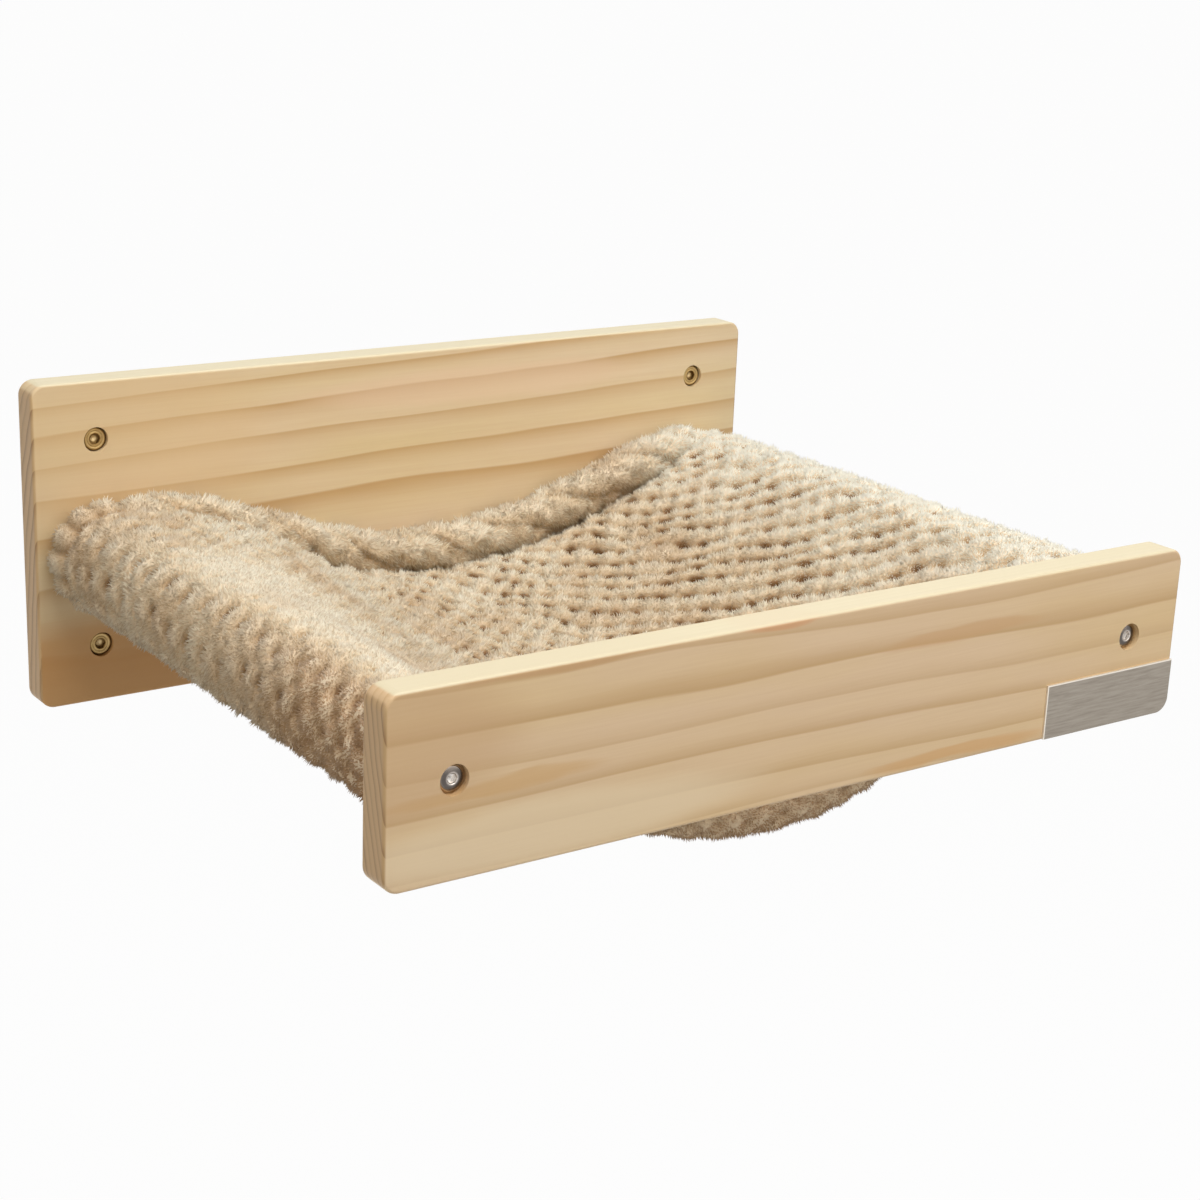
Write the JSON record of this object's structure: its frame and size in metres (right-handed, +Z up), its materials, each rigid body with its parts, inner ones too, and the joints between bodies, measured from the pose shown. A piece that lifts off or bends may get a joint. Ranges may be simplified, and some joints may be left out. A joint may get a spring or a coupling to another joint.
{
  "type": "wall mounted cat hammock",
  "caption": "Wall mounted cat hammock shelf: pine wall board and lower front board joined by rods that carry a thick bubble plush sling.",
  "frame": {"origin": "on the wall, behind the middle of the wall board and of its four screws", "axes": "+Z up, +X to the right as seen from the front, +Y into the wall; the shelf stands out along -Y"},
  "size_m": [0.46, 0.4282, 0.176],
  "materials": {
    "pine_board": "satin clear lacquer, knotty flat sawn pine",
    "pine_rod": "sanded round rod",
    "insert_steel": "zinc plated",
    "bolt_steel": "nickel plated, satin",
    "yellow_zinc": "yellow zinc plated steel",
    "plate_metal": "fine brushed, bare",
    "plush": "thick cream bubble plush"
  },
  "bodies": {
    "root": {"wall_board": "pine_board", "front_board": "pine_board", "rod_left": "pine_rod", "rod_right": "pine_rod", "rod_insert_left_front": "insert_steel", "rod_insert_left_rear": "insert_steel", "rod_insert_right_front": "insert_steel", "rod_insert_right_rear": "insert_steel", "front_bolt_left": "bolt_steel", "front_bolt_right": "bolt_steel", "rear_bolt_left": "bolt_steel", "rear_bolt_right": "bolt_steel", "wall_screw_upper_left": "yellow_zinc", "wall_screw_upper_right": "yellow_zinc", "wall_screw_lower_left": "yellow_zinc", "wall_screw_lower_right": "yellow_zinc", "blank_plate": "plate_metal", "sling_top": "plush", "sling_underside": "plush", "sleeve_left": "plush", "sleeve_right": "plush", "rear_hem": "plush", "front_hem": "plush"}
  },
  "joints": []
}
